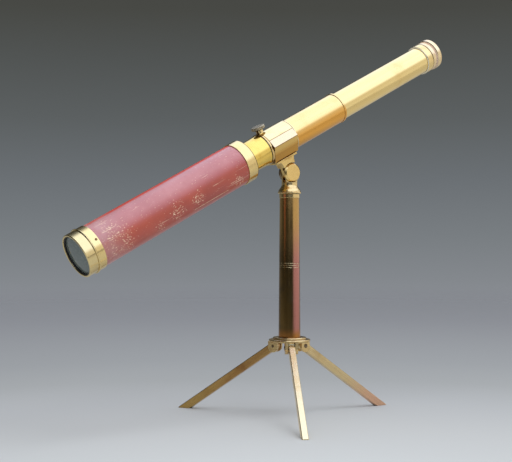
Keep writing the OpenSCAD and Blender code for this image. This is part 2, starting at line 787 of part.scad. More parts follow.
// Eye cap: a band, a groove and a flared lip round a shallow dish
module eye_cap() {
    steps = 8;
    hole_r = eye_hole_d / 2;
    rim = cap_lip_r - 3 * edge;
    neck_end = cap_x + cap_band + cap_groove;
    dish = [for (i = [0 : steps]) [
        rim - (rim - hole_r) * sin(90 * i / steps), cap_end_x - dish_depth * (1 - cos(90 * i / steps))
    ]];
    color(bright_brass) on_tube() turned(concat(
        [
            [eye_tube_r + fit, cap_x], [cap_band_r - edge, cap_x], [cap_band_r, cap_x + edge],
            [cap_band_r, cap_x + cap_band - edge], [cap_groove_r, cap_x + cap_band],
            [cap_groove_r, neck_end - edge], [cap_band_r, neck_end],
            [cap_lip_r, neck_end + cap_flare], [cap_lip_r, cap_end_x - edge]
        ],
        dish,
        [
            [hole_r, eye_lens_x + eye_lens_edge + seat], [eye_lens_d / 2 + fit, eye_lens_x + eye_lens_edge + seat],
            [eye_lens_d / 2 + fit, eye_tube_end_x + seat], [eye_tube_r + fit, eye_tube_end_x + seat]
        ]
    ));
}

// Thumb screw on top of the block, with a knurled head
module lock_screw() {
    foot_z = draw_r + gap;
    collar_z = block_flat + lock_boss_h + gap;
    head_r = lock_head_d / 2;
    knurl = [for (i = [0 : 2 * lock_ridges - 1])
        (head_r - (i % 2) * lock_groove) * [cos(180 * i / lock_ridges), sin(180 * i / lock_ridges)]];
    color(bright_brass) on_tube() translate([-lock_fore, 0, 0]) {
        translate([0, 0, foot_z]) cylinder(d = lock_shank_d, h = collar_z - foot_z + edge);
        translate([0, 0, collar_z]) cylinder(d = lock_boss_d - 2 * edge, h = lock_collar_h + edge);
        translate([0, 0, collar_z + lock_collar_h]) intersection() {
            linear_extrude(lock_head_t) polygon(knurl);
            rotate_extrude() polygon([
                [0, 0], [head_r - 2 * edge, 0], [head_r + edge, 3 * edge],
                [head_r + edge, lock_head_t - 3 * edge], [head_r - 2 * edge, lock_head_t], [0, lock_head_t]
            ]);
        }
    }
}

// Carries a piece turned about the tilt hinge: Z runs towards the near side
module across_hinge() {
    on_stand() translate([0, 0, pin_z]) rotate([90, 0, 0]) children();
}

// Turned bell and neck, with the two cheeks of the fork on top
module swivel_head() {
    steps = 16;
    neck_radius = neck_d / 2;
    rim_r = bell_d / 2;
    shoulder = rim_r - 2 * edge - neck_radius;
    foot_half = sqrt(pow(neck_radius, 2) - pow(cheek_half, 2)) - edge;
    foot_drop = head_h - neck_top_h + 2 * edge;
    slope = [for (i = [0 : steps]) [
        neck_radius + shoulder * (1 + cos(180 * i / steps)) / 2,
        bell_rim_t + (bell_h - bell_rim_t) * i / steps
    ]];
    color(stand_brass) {
        on_stand() translate([0, 0, head_z]) difference() {
            rotate_extrude() polygon(concat(
                [[0, 0], [rim_r - 2 * edge, 0], [rim_r, 2 * edge], [rim_r, bell_rim_t - 2 * edge]],
                slope,
                [[neck_radius, neck_top_h], [0, neck_top_h]]
            ));
            translate([0, 0, -past]) cylinder(r = spindle_d / 2 + fit, h = spindle_grip + seat + past);
        }
        across_hinge() difference() {
            for (side = [-1, 1]) {
                translate([0, 0, side * (slot_half + cheek_t / 2)]) linear_extrude(cheek_t, center = true) union() {
                    circle(r = cheek_r);
                    polygon([[-cheek_r, 0], [cheek_r, 0], [foot_half, -foot_drop], [-foot_half, -foot_drop]]);
                }
            }
            cylinder(r = pin_d / 2 + fit, h = 2 * (cheek_half + past), center = true);
        }
    }
}

// Hinge pin with a broad bevelled head on the near side
module hinge_pin() {
    pin_r = pin_d / 2;
    head_r = pin_head_d / 2;
    under = cheek_half + seat;
    color(bright_brass) across_hinge() rotate_extrude() polygon([
        [0, -pin_end], [pin_r - edge, -pin_end], [pin_r, -pin_end + edge],
        [pin_r, under], [head_r, under], [head_r, under + pin_head_t - pin_head_bevel],
        [head_r - pin_head_bevel, under + pin_head_t], [0, under + pin_head_t]
    ]);
}

// Round nut on the far end of the hinge pin, slotted for a key
module hinge_nut() {
    bore_r = pin_d / 2 + fit;
    nut_r = nut_d / 2;
    bevel = 3 * edge;
    color(dark_steel) across_hinge() translate([0, 0, -cheek_half - seat - nut_t]) difference() {
        rotate_extrude() polygon([
            [bore_r, 0], [nut_r - bevel, 0], [nut_r, bevel], [nut_r, nut_t - edge],
            [nut_r - edge, nut_t], [bore_r, nut_t]
        ]);
        cube([nut_d + 2 * past, nut_slot, nut_slot], center = true);
    }
}

module swivel_spindle() {
    low = spindle_nut_z - spindle_d / 4;
    color(dark_steel) on_stand() translate([0, 0, low])
        cylinder(d = spindle_d, h = head_z + spindle_grip - low);
}

module spindle_nut() {
    color(dark_steel) on_stand() translate([0, 0, spindle_nut_z]) difference() {
        cylinder(r = spindle_nut_r, h = spindle_nut_t, $fn = 6);
        translate([0, 0, -past]) cylinder(r = spindle_d / 2 + fit, h = spindle_nut_t + 2 * past);
    }
}

// Tapered pillar with three fine turned lines
module pillar() {
    foot_r = pillar_foot_d / 2;
    top_r = pillar_top_d / 2;
    function radius(h) = foot_r + (top_r - foot_r) * h / pillar_len;
    lines = [for (i = [-1 : 1]) for (step = [-1, 0, 1])
        let (h = line_z + i * line_pitch + step * line_depth)
            [radius(h) - (step == 0 ? line_depth : 0), h]];
    color(stand_brass) on_stand() translate([0, 0, pillar_z]) rotate_extrude() polygon(concat(
        [[pillar_bore_r, seat], [radius(seat), seat]],
        lines,
        [[top_r, pillar_len], [pillar_bore_r, pillar_len]]
    ));
}

// Bush in the top of the pillar, bored for the spindle
module pillar_bush() {
    rim_r = bush_rim_d / 2;
    plug_r = pillar_bore_r - fit;
    bore_r = spindle_d / 2 + run;
    color(stand_brass) on_stand() translate([0, 0, pillar_top_z]) rotate_extrude() polygon([
        [bore_r, -bush_plug], [plug_r, -bush_plug], [plug_r, seat], [rim_r - edge, seat],
        [rim_r, seat + edge], [rim_r, bush_rim_t - edge], [rim_r - edge, bush_rim_t], [bore_r, bush_rim_t]
    ]);
}

// Flange with a stepped top, a plug for the pillar and three pairs of ears
module tripod_hub() {
    plug_r = pillar_bore_r - fit;
    color(stand_brass) difference() {
        union() {
            on_stand() rotate_extrude() polygon([
                [0, flange_z], [flange_r - rim_edge, flange_z], [flange_r, flange_z + rim_edge],
                [flange_r, step_z - rim_edge], [flange_r - edge, step_z - edge], [flange_r - rim_edge, step_z],
                [step_r, step_z], [step_r, pillar_z - rim_edge], [step_r - edge, pillar_z - edge],
                [step_r - rim_edge, pillar_z], [plug_r, pillar_z], [plug_r, pillar_z + hub_plug],
                [0, pillar_z + hub_plug]
            ]);
            for (turn = leg_turns) {
                for (side = [-1, 1]) {
                    on_leg(turn) translate([leg_root_r, side * (ear_gap + ear_t) / 2, leg_root_z])
                        rotate([90, 0, 0]) linear_extrude(ear_t, center = true) union() {
                            translate([0, -ear_drop]) circle(r = ear_r);
                            translate([-ear_r, -ear_drop]) square([2 * ear_r, flange_z - leg_root_z + ear_drop + edge]);
                        }
                }
            }
        }
        for (turn = leg_turns) {
            on_leg(turn) translate([leg_root_r, 0, leg_root_z])
                cross_bar(leg_pin_d / 2 + fit, ear_gap + 2 * (ear_t + past));
        }
    }
}

// Three hinge pins, each with one low head
module leg_pins() {
    half = ear_gap / 2 + ear_t;
    pin_r = leg_pin_d / 2;
    head_r = pin_r + 3 * edge;
    color(dark_steel) for (turn = leg_turns) {
        on_leg(turn) translate([leg_root_r, 0, leg_root_z]) rotate([90, 0, 0]) rotate_extrude() polygon([
            [0, -half - 2 * edge], [pin_r - edge, -half - 2 * edge], [pin_r, -half - edge],
            [pin_r, half + seat], [head_r, half + seat], [head_r, half + seat + edge],
            [pin_r, half + seat + 3 * edge], [0, half + seat + 4 * edge]
        ]);
    }
}

// A leg in its opened place: an eye with a squared stop, and a bar cut level at the floor
module leg(turn) {
    half = leg_w / 2;
    bevel = leg_edge / 2;
    color(leg_brass) on_leg(turn) difference() {
        translate([leg_root_r, 0, leg_root_z]) union() {
            rotate([90, 0, 0]) translate([0, 0, -half]) rotate_extrude() polygon([
                [0, 0], [leg_eye_r - bevel, 0], [leg_eye_r, bevel],
                [leg_eye_r, leg_w - bevel], [leg_eye_r - bevel, leg_w], [0, leg_w]
            ]);
            translate([edge, bevel - half, 0]) cube([leg_stop - edge, leg_w - leg_edge, leg_eye_r]);
            rotate([0, leg_angle, 0]) rotate([90, 0, 90]) linear_extrude(bar_len) polygon([
                [-bar_half, bar_low + leg_edge], [-bar_half + leg_edge, bar_low],
                [bar_half - leg_edge, bar_low], [bar_half, bar_low + leg_edge],
                [bar_half, bar_top - leg_edge], [bar_half - leg_edge, bar_top],
                [-bar_half + leg_edge, bar_top], [-bar_half, bar_top - leg_edge]
            ]);
        }
        translate([leg_root_r, 0, leg_root_z]) cross_bar(leg_pin_d / 2 + run, leg_w + 2 * past);
        translate([0, -leg_w, -bar_len]) cube([2 * foot_reach, 2 * leg_w, bar_len]);
        translate([foot_reach, -leg_w, -past]) cube([bar_len, 2 * leg_w, leg_root_z]);
    }
}

module leg_right() {
    leg(leg_turns[0]);
}

module leg_back() {
    leg(leg_turns[1]);
}

module leg_front() {
    leg(leg_turns[2]);
}

objective_cell();
lens_ring();
crown_lens();
lens_spacer();
flint_lens();
front_ferrule();
ferrule_screws();
barrel_tube();
barrel_stop();
rear_ferrule();
tube_neck();
tube_block();
guide_tube();
guide_ring();
tilt_bracket();
draw_tube();
draw_stop_ring();
erector_cell();
erector_front_lens();
erector_rear_lens();
eyepiece_collar();
eyepiece_tube();
field_lens();
field_stop();
eye_lens();
eye_cap();
lock_screw();
swivel_head();
hinge_pin();
hinge_nut();
swivel_spindle();
spindle_nut();
pillar();
pillar_bush();
tripod_hub();
leg_pins();
leg_right();
leg_back();
leg_front();
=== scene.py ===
import json
import math
import bmesh
import bpy
from mathutils import Matrix, Vector


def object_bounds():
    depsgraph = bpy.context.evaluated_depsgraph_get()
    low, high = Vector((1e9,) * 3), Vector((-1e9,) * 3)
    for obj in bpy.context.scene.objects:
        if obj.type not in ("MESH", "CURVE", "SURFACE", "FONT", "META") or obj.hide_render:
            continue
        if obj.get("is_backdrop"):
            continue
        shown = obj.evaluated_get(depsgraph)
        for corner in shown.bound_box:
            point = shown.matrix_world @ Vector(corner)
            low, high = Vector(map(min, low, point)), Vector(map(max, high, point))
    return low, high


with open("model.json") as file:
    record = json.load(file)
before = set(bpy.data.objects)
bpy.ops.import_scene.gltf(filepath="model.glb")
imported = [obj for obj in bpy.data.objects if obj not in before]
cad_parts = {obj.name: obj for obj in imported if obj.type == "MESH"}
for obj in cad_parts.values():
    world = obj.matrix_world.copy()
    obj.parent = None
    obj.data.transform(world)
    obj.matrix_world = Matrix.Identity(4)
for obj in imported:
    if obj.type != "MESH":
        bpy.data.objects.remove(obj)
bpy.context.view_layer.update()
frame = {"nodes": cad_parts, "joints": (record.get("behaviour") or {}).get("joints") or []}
joints = {joint["name"]: joint for joint in frame["joints"]}


# Three flat-sided legs of cast brass, filed smooth along their length and lacquered once.
# The lacquer has gone from the edges, and the brass under it has browned unevenly.
# Each leg hangs on a pin in the hub and opens until its shoulder meets the flange.
def linear(red, green, blue):
    """A colour as read off a screen, 0 to 255, as linear light."""
    return tuple(((c / 255 + 0.055) / 1.055) ** 2.4 if c > 10 else c / 3294.6
                 for c in (red, green, blue)) + (1,)


def node(tree, kind, sockets=None, **settings):
    """A shader node with its settings, and a value or a link for each named socket."""
    made = tree.nodes.new("ShaderNode" + kind)
    for name, value in settings.items():
        setattr(made, name, value)
    for name, value in (sockets or {}).items():
        if isinstance(value, bpy.types.NodeSocket):
            tree.links.new(value, made.inputs[name])
        else:
            made.inputs[name].default_value = value
    return made


def reckon(tree, operation, first, second):
    """One sum on two masks or heights."""
    return node(tree, "Math", {0: first, 1: second}, operation=operation).outputs[0]


def times(tree, first, second):
    """Two masks multiplied."""
    return reckon(tree, "MULTIPLY", first, second)


def vectors(tree, operation, first, second=(0, 0, 0)):
    """The outputs of one sum on two vectors."""
    return node(tree, "VectorMath", {0: first, 1: second}, operation=operation).outputs


def between(tree, value, low, high, start=0.0, end=1.0):
    """Maps a value that runs from low to high onto start to end, and holds it there."""
    limits = {"Value": value, "From Min": low, "From Max": high, "To Min": start, "To Max": end}
    return node(tree, "MapRange", limits, interpolation_type="SMOOTHSTEP").outputs[0]


def tinted(tree, mask, under, over):
    """One colour over another by a mask."""
    return node(tree, "Mix", {0: mask, 6: under, 7: over}, data_type="RGBA").outputs[2]


def from_centre(tree, centre, lie):
    """Object coordinates from a piece's centre, turned as the piece lies."""
    place = vectors(tree, "SUBTRACT", node(tree, "TexCoord").outputs["Object"], centre)[0]
    return node(tree, "VectorRotate", {"Vector": place, "Rotation": lie}, rotation_type="EULER_XYZ",
                invert=True).outputs[0]


def effect(name, inputs, outputs):
    """An empty shader group with these sockets, and the sockets at its two ends."""
    group = bpy.data.node_groups.new(name, "ShaderNodeTree")
    for label, (kind, value) in inputs.items():
        socket = group.interface.new_socket(label, in_out="INPUT", socket_type="NodeSocket" + kind)
        socket.default_value = value
    for label, kind in outputs.items():
        group.interface.new_socket(label, in_out="OUTPUT", socket_type="NodeSocket" + kind)
    return group, group.nodes.new("NodeGroupInput").outputs, group.nodes.new("NodeGroupOutput").inputs


def use(tree, group, **values):
    """The outputs of a group placed in a material with its own values."""
    placed = tree.nodes.new("ShaderNodeGroup")
    placed.node_tree = group
    for name, value in values.items():
        placed.inputs[name].default_value = value
    return placed.outputs


# marks: noise drawn out along a piece that lies any way, for file marks, turning lines and scratches
marks, given, out = effect(
    "marks", {"Centre": ("Vector", (0, 0, 0)), "Lie": ("Vector", (0, 0, 0)), "Length": ("Float", 0.02),
              "Width": ("Float", 0.0004), "Shift": ("Float", 0.0)}, {"Height": "Float"})
cell = node(marks, "CombineXYZ", {"X": given["Length"], "Y": given["Width"], "Z": given["Width"]}).outputs[0]
place = vectors(marks, "DIVIDE", from_centre(marks, given["Centre"], given["Lie"]), cell)[0]
place = vectors(marks, "ADD", place, given["Shift"])[0]
strokes = node(marks, "TexNoise", {"Vector": place, "Scale": 1.0, "Detail": 3.0}).outputs[0]
marks.links.new(strokes, out["Height"])

# patches: cloudy areas, for lacquer that has browned or gone
patches, given, out = effect(
    "patches", {"Size": ("Float", 0.02), "Share": ("Float", 0.5), "Blur": ("Float", 0.1),
                "Shift": ("Float", 0.0)}, {"Mask": "Float"})
place = vectors(patches, "DIVIDE", node(patches, "TexCoord").outputs["Object"], given["Size"])[0]
place = vectors(patches, "ADD", place, given["Shift"])[0]
cloud = node(patches, "TexNoise", {"Vector": place, "Scale": 1.0, "Detail": 5.0, "Roughness": 0.6}).outputs[0]
level = reckon(patches, "SUBTRACT", 1.0, given["Share"])
low = reckon(patches, "SUBTRACT", level, given["Blur"])
high = reckon(patches, "ADD", level, given["Blur"])
patches.links.new(between(patches, cloud, low, high), out["Mask"])

# edges: a narrow mask along every edge, broken up as by handling, and a normal rounded over it
edges, given, out = effect("edges", {"Radius": ("Float", 0.0004), "Amount": ("Float", 1.0)},
                           {"Mask": "Float", "Normal": "Vector"})
rounded = node(edges, "Bevel", {"Radius": given["Radius"]}, samples=4).outputs[0]
turn = vectors(edges, "DOT_PRODUCT", rounded, node(edges, "NewGeometry").outputs["Normal"])["Value"]
breaks = node(edges, "TexNoise", {"Vector": node(edges, "TexCoord").outputs["Object"], "Scale": 240.0,
                                  "Detail": 3.0}).outputs[0]
rub = times(edges, between(edges, turn, 0.995, 0.9), between(edges, breaks, 0.35, 0.55))
edges.links.new(times(edges, rub, given["Amount"]), out["Mask"])
edges.links.new(rounded, out["Normal"])

# darkening round corners and the feet of raised work: partly dirt that gathers there, partly painted shade
# where shade falls
grime_and_shade, given, out = effect("grime_and_shade", {"Reach": ("Float", 0.003), "Amount": ("Float", 1.0)}, {"Mask": "Float"})
open_sky = node(grime_and_shade, "AmbientOcclusion", {"Distance": given["Reach"]}, samples=8).outputs["AO"]
grime_and_shade.links.new(times(grime_and_shade, between(grime_and_shade, open_sky, 0.75, 0.2), given["Amount"]), out["Mask"])

# side: grows from Low to High in one direction of a piece, for aged lacquer on one side of it, and for
# painted light and shade
side, given, out = effect(
    "side", {"Centre": ("Vector", (0, 0, 0)), "Lie": ("Vector", (0, 0, 0)),
             "Direction": ("Vector", (1, 0, 0)), "Low": ("Float", 0.0), "High": ("Float", 1.0)},
    {"Mask": "Float"})
place = from_centre(side, given["Centre"], given["Lie"])
ahead = vectors(side, "DOT_PRODUCT", place, given["Direction"])["Value"]
side.links.new(between(side, ahead, given["Low"], given["High"]), out["Mask"])


def new_finish(name):
    """A new material, its nodes and its shader."""
    material = bpy.data.materials.new(name)
    material.use_nodes = True
    return material, material.node_tree, material.node_tree.nodes["Principled BSDF"]


def feed(tree, shader, sockets):
    """Links what varies over a surface to the shader's named sockets."""
    for name, value in sockets.items():
        tree.links.new(value, shader.inputs[name])


speck_tone = linear(104, 76, 44)
bare_brass = linear(250, 228, 172)
# the tone of dirt in corners, which also stands in for painted shade there
corner_dirt_and_shade = linear(52, 36, 20)
speck_strength, streak_strength = 0.3, 0.3
stain_haze, dirt_and_shade_haze, tool_haze = 0.08, 0.35, 0.04
rub_radius = 0.0004
shade_and_dirt_reach = 0.003
tool_depth = 0.0003


def old_brass(name, clean, brown, rough, centre, lie, mark_length, mark_width, browned=0.5, patch=0.02,
              dirt_and_shade=0.8, worn=0.5, relief=0.05, sides=()):
    """Brass with browned lacquer, tool marks along it, rubbed edges, dirt and painted shade in its corners,
    and tones on its sides, some of them aged lacquer and some painted light and shade.
    Colours are as read off a screen. A side is a tone, a direction, and where the tone starts and is full.
    The length of the name moves the clouds, so that they differ from one finish to the next."""
    material, tree, shader = new_finish(name)
    shader.inputs["Metallic"].default_value = 1.0
    lying = {"Centre": centre, "Lie": lie}
    clean, brown = linear(*clean), linear(*brown)
    stains = use(tree, patches, Size=patch, Share=browned, Blur=0.16, Shift=len(name))["Mask"]
    specks = use(tree, patches, Size=patch / 14, Share=0.32, Blur=0.03, Shift=len(name) + 4)["Mask"]
    tools = use(tree, marks, Length=mark_length, Width=mark_width, **lying)["Height"]
    streaks = use(tree, marks, Length=mark_length * 3, Width=mark_width * 9, Shift=7.0, **lying)["Height"]
    edge = use(tree, edges, Radius=rub_radius, Amount=worn)
    dark = use(tree, grime_and_shade, Reach=shade_and_dirt_reach, Amount=dirt_and_shade)["Mask"]
    colour = tinted(tree, stains, clean, brown)
    colour = tinted(tree, between(tree, streaks, 0.35, 0.7, end=streak_strength), colour, brown)
    for tone, direction, starts, full in sides:
        aged = use(tree, side, Direction=direction, Low=starts, High=full, **lying)["Mask"]
        colour = tinted(tree, aged, colour, linear(*tone))
    colour = tinted(tree, times(tree, specks, speck_strength), colour, speck_tone)
    colour = tinted(tree, edge["Mask"], colour, bare_brass)
    # painted shade: corners are darkened with the dirt tone, as dirt and as the shade that falls there
    colour = tinted(tree, dark, colour, corner_dirt_and_shade)
    haze = reckon(tree, "ADD", times(tree, stains, stain_haze), times(tree, dark, dirt_and_shade_haze))
    haze = reckon(tree, "ADD", haze, between(tree, tools, 0.3, 0.7, rough - tool_haze, rough + tool_haze))
    bump = node(tree, "Bump", {"Height": tools, "Normal": edge["Normal"], "Strength": relief,
                               "Distance": tool_depth})
    feed(tree, shader, {"Base Color": colour, "Roughness": haze, "Normal": bump.outputs[0]})
    return material


def finish(names, material):
    """Gives the named frame pieces their finish."""
    for name in names:
        piece = frame["nodes"][name]
        piece.data.materials.clear()
        piece.data.materials.append(material)


# from here on, a pair of places is where a tone starts and where it is full
leg_slope = math.radians(90 - joints["leg_right_fold"]["range_deg"][1])
outward = (1, 0, 0)
lower_end = (0.07, 0.14)
# the three legs are one brass in three tones: the front leg is painted pale where the light falls on it, and
# the back leg dark where it stands in shade. Each also takes its own tone towards its lower end
for name, turn, clean, brown, foot in (
        ("leg_right", 0, (226, 202, 152), (196, 166, 116), (232, 184, 150)),
        ("leg_back", 120, (192, 152, 92), (162, 112, 66), (196, 160, 96)),
        ("leg_front", 240, (250, 232, 188), (238, 210, 156), (248, 226, 176))):
    filed_leg = old_brass("filed_" + name, clean, brown, rough=0.26, centre=joints[name + "_fold"]["pos_m"],
                          lie=(0, leg_slope, math.radians(turn)), mark_length=0.03, mark_width=0.0005,
                          browned=0.4, patch=0.03, sides=[(foot, outward, *lower_end)])
    finish([name], filed_leg)


# The hub: a turned brass flange in two steps, with three pairs of ears sawn and filed below it.
# It is cast from the same metal as the legs, and has kept cleaner on top.
# Three pins of browned steel carry the legs.
on_stand = {"centre": joints["pan"]["pos_m"], "lie": (0, math.radians(-90), 0)}
turned_hub = old_brass("turned_hub", (226, 196, 138), (176, 136, 88), rough=0.26, **on_stand,
                       mark_length=0.0004, mark_width=0.05, browned=0.4, patch=0.01, dirt_and_shade=0.9)
finish(["tripod_hub"], turned_hub)

fine_edge = 0.0003
steel_rough, rust_rough = 0.35, 0.6
browned_steel, tree, shader = new_finish("browned_steel")
shader.inputs["Metallic"].default_value = 1.0
rust = use(tree, patches, Size=0.004, Share=0.5, Blur=0.1, Shift=2.0)["Mask"]
feed(tree, shader, {"Base Color": tinted(tree, rust, linear(168, 150, 122), linear(104, 84, 62)),
                    "Roughness": between(tree, rust, 0, 1, steel_rough, rust_rough),
                    "Normal": use(tree, edges, Radius=fine_edge, Amount=1.0)["Normal"]})
finish(["leg_pins"], browned_steel)


# The pillar: a drawn brass tube turned to a slight taper, cut with three fine lines and toned dark.
# A red strip with a brown rim is painted down its right side as a reflection of the lit right of the room,
# and the toning has stayed golden at both ends.
# A pale bush closes its top, and a steel spindle and nut inside hold the head down.
to_right = Vector((0.8228, -0.5684, 0))
toward_lit_right = Matrix.Rotation(math.radians(90), 3, "Y") @ to_right
to_head, to_hub = (1, 0, 0), (-1, 0, 0)
painted_reflection_strip, painted_reflection_rim = (0.002, 0.006), (0.0108, 0.0122)
golden_top, golden_foot = (-0.09, -0.02), (0.162, 0.174)
# painted reflection: a red strip with a brown rim down the right side, where the lit right of the room would
# show
toned_pillar = old_brass("toned_pillar", (140, 110, 62), (98, 82, 56), rough=0.18, **on_stand,
                         mark_length=0.06, mark_width=0.0005, patch=0.03, dirt_and_shade=0.5, worn=1.0, relief=0.02,
                         sides=[((186, 124, 112), toward_lit_right, *painted_reflection_strip),
                                ((130, 88, 66), toward_lit_right, *painted_reflection_rim),
                                ((198, 156, 92), to_head, *golden_top),
                                ((180, 122, 62), to_hub, *golden_foot)])
finish(["pillar"], toned_pillar)

fine_turning = {"mark_length": 0.0003, "mark_width": 0.05}
turned_bush = old_brass("turned_bush", (238, 206, 140), (190, 146, 88), rough=0.2, **on_stand,
                        **fine_turning, browned=0.3, patch=0.01)
finish(["pillar_bush"], turned_bush)
finish(["swivel_spindle", "spindle_nut"], browned_steel)


# The head: a brass bell turned in one with its neck and the two round cheeks of the fork.
# The hinge pin has a broad bevelled head on the near side and a blackened nut on the far side.
turned_head = old_brass("turned_head", (240, 210, 146), (190, 148, 92), rough=0.24, **on_stand,
                        **fine_turning, browned=0.35, patch=0.012)
finish(["swivel_head"], turned_head)
hinge = Vector(joints["tilt"]["pos_m"])
faced_pin = old_brass("faced_pin", (244, 208, 132), (206, 160, 92), rough=0.2, centre=hinge,
                      lie=(0, 0, math.radians(90)), **fine_turning, browned=0.3, patch=0.012)
finish(["hinge_pin"], faced_pin)
finish(["hinge_nut"], browned_steel)


# The block: a brass sleeve bored for the draw tube, with six-sided corners on its sides and underside.
# Its flats are draw-filed lengthwise and polished. A dark shadow line is painted round each flat, each flat
# beyond it is painted in its own tone of light and shade, and the underside is painted darker as shade.
# A saddle plate with a web and tongue is screwed below it.
axis = Vector(joints["focus_slide"]["axis"])
along_tube = (0, -math.atan2(axis.z, axis.x), 0)
on_tube = {"centre": hinge, "lie": along_tube}
to_front, to_eye, to_underside = (-1, 0, 0), (1, 0, 0), (0, 0, -1)
upper_line, lower_line, front_line, eye_line = -0.0516, -0.0422, 0.0213, 0.0162
shaded_underside = (-0.038, -0.03)
line_ramp = 0.0004


def painted_shadow_line(line, beyond, direction, start, width):
    """Two sides that paint a dark shadow line across a piece, and the painted tone of the next flat beyond
    it.
    """
    end = start + width
    return [(line, direction, start, start + line_ramp), (beyond, direction, end, end + line_ramp)]


# painted light and shade: dark shadow lines round the flats, a lit or shaded tone for each flat beyond them,
# and a darker underside
filed_block = old_brass(
    "filed_block", (250, 226, 164), (226, 188, 116), rough=0.14, **on_tube, mark_length=0.03,
    mark_width=0.0005, browned=0.3, patch=0.03, dirt_and_shade=1.0, worn=0.9,
    sides=[*painted_shadow_line((140, 108, 62), (242, 212, 166), to_underside, upper_line, width=0.0006),
           *painted_shadow_line((120, 88, 50), (236, 196, 116), to_underside, lower_line, width=0.0008),
           ((206, 154, 76), to_underside, *shaded_underside),
           *painted_shadow_line((132, 100, 58), (232, 196, 132), to_front, front_line, width=0.0009),
           *painted_shadow_line((140, 108, 62), (252, 230, 178), to_eye, eye_line, width=0.0008)])
finish(["tube_block"], filed_block)
filed_bracket = old_brass("filed_bracket", (238, 204, 130), (190, 146, 80), rough=0.18, **on_tube,
                          mark_length=0.02, mark_width=0.0005, browned=0.4, patch=0.01, dirt_and_shade=1.0, worn=0.7)
finish(["tilt_bracket"], filed_bracket)


# The neck and both ferrules: turned brass in deep yellow lacquer, joined by threads.
# Fine turning lines run round them, and a dark shadow line is painted in at every joint.
ferrule_end, neck_front, neck_end = (-0.0554, -0.055), (0.0532, 0.0537), (-0.0262, -0.0257)
# painted shadow lines: dark tones at the ferrule's end and at both ends of the neck, where the joints fall in
# shade
turned_ferrule = old_brass("turned_ferrule", (248, 220, 152), (216, 174, 104), rough=0.15, **on_tube,
                           **fine_turning, browned=0.3, patch=0.03, dirt_and_shade=1.0, worn=0.7,
                           sides=[((96, 70, 38), to_eye, *ferrule_end)])
finish(["rear_ferrule", "front_ferrule"], turned_ferrule)
turned_neck = old_brass("turned_neck", (250, 214, 112), (222, 174, 76), rough=0.14, **on_tube,
                        **fine_turning, browned=0.3, dirt_and_shade=1.0, worn=0.7,
                        sides=[((62, 44, 22), to_eye, *neck_end), ((96, 72, 36), to_front, *neck_front)])
finish(["tube_neck"], turned_neck)


# The barrel: a brass tube japanned in dull red, black inside.
# The japan is chipped and scratched through to the brass, most of all along its underside.
# A pale lilac tone lies along its upper side, partly fading and dust and partly a painted sheen, and a full
# red with less coat is painted along its far upper edge in place of the pale reflection there.
optic_height = 0.0417
optic = hinge + Vector((-axis.z, 0, axis.x)) * optic_height
on_optic = {"Centre": optic, "Lie": along_tube}
barrel_r = 0.025
bore_wall = (0.0246, 0.0243)
to_light, from_light = (0, 0.3, 0.95), (0, 0.955, -0.297)
upper_side, far_side, front_end = (-0.006, 0.009), (-0.0145, -0.0085), (-0.235, -0.27)
# a knock is a place along, degrees up from the near side, and a reach
knocks = ((-0.174, -19, 0.016), (-0.144, -14, 0.013), (-0.254, -8, 0.028), (-0.258, 40, 0.016),
          (-0.084, -34, 0.013), (-0.2, -30, 0.012))
# a scratch is its front, its rear, degrees up from the near side, and half its width
scratches = ((-0.154, -0.1, -43, 0.0006), (-0.098, -0.076, -26, 0.0003))
scratch_taper = 0.002
chip_level, chip_growth = (0.685, 0.72), 0.11
hair_level, hair_growth = (0.71, 0.74), 0.06


def on_barrel(along, around):
    """A place on the barrel: how far along, and how many degrees up from its near side."""
    turn = math.radians(around)
    return Vector((along, -barrel_r * math.cos(turn), barrel_r * math.sin(turn)))


def past(tree, centre, direction, starts, full):
    """A mask over what lies past a place on the tube, along it or across it."""
    return use(tree, side, Centre=centre, Lie=along_tube, Direction=direction, Low=starts, High=full)["Mask"]


red_japan, tree, shader = new_finish("scratched_red_japan")
shader.inputs["Coat Roughness"].default_value = 0.3
shader.inputs["Coat IOR"].default_value = 1.6
place = from_centre(tree, optic, along_tube)
across = vectors(tree, "MULTIPLY", place, (0, 1, 1))[0]

# where it is knocked: a little in clouds all over, and most of all round the knocks
knocked = times(tree, use(tree, patches, Size=0.03, Share=0.3, Blur=0.06, Shift=11.0)["Mask"], 0.45)
for along, around, reach in knocks:
    away = vectors(tree, "DISTANCE", place, on_barrel(along, around))["Value"]
    knocked = reckon(tree, "MAXIMUM", knocked, between(tree, away, reach, reach * 0.3))
ragged = use(tree, patches, Size=0.007, Share=0.55, Blur=0.08, Shift=31.0)["Mask"]
knocked = times(tree, knocked, between(tree, ragged, 0, 1, 0.25, 1))

# bare brass: chips and fine lines, more of them where it is knocked, and the long scratches
flecks = use(tree, marks, Length=0.0022, Width=0.001, Shift=5.0, **on_optic)["Height"]
chips = between(tree, reckon(tree, "ADD", flecks, times(tree, knocked, chip_growth)), *chip_level)
hairs = use(tree, marks, Length=0.05, Width=0.0007, Shift=9.0, **on_optic)["Height"]
lines = between(tree, reckon(tree, "ADD", hairs, times(tree, knocked, hair_growth)), *hair_level)
bare = reckon(tree, "MAXIMUM", chips, lines)
broken = between(tree, flecks, 0.35, 0.5)
for front, rear, around, half_width in scratches:
    off = vectors(tree, "DISTANCE", across, on_barrel(0, around))["Value"]
    length = times(tree, past(tree, optic, to_eye, front, front + scratch_taper),
                   past(tree, optic, to_eye, rear, rear - scratch_taper))
    scratch = times(tree, length, between(tree, off, half_width, half_width * 0.5))
    bare = reckon(tree, "MAXIMUM", bare, times(tree, scratch, broken))

# the red from the ground up: mottled, pale above as fading and painted sheen, a painted full red on the far
# upper edge, bloomed in front, bare, and dirty with painted shade in its corners
mottle = use(tree, patches, Size=0.03, Share=0.5, Blur=0.25, Shift=3.0)["Mask"]
upper = past(tree, optic, to_light, *upper_side)
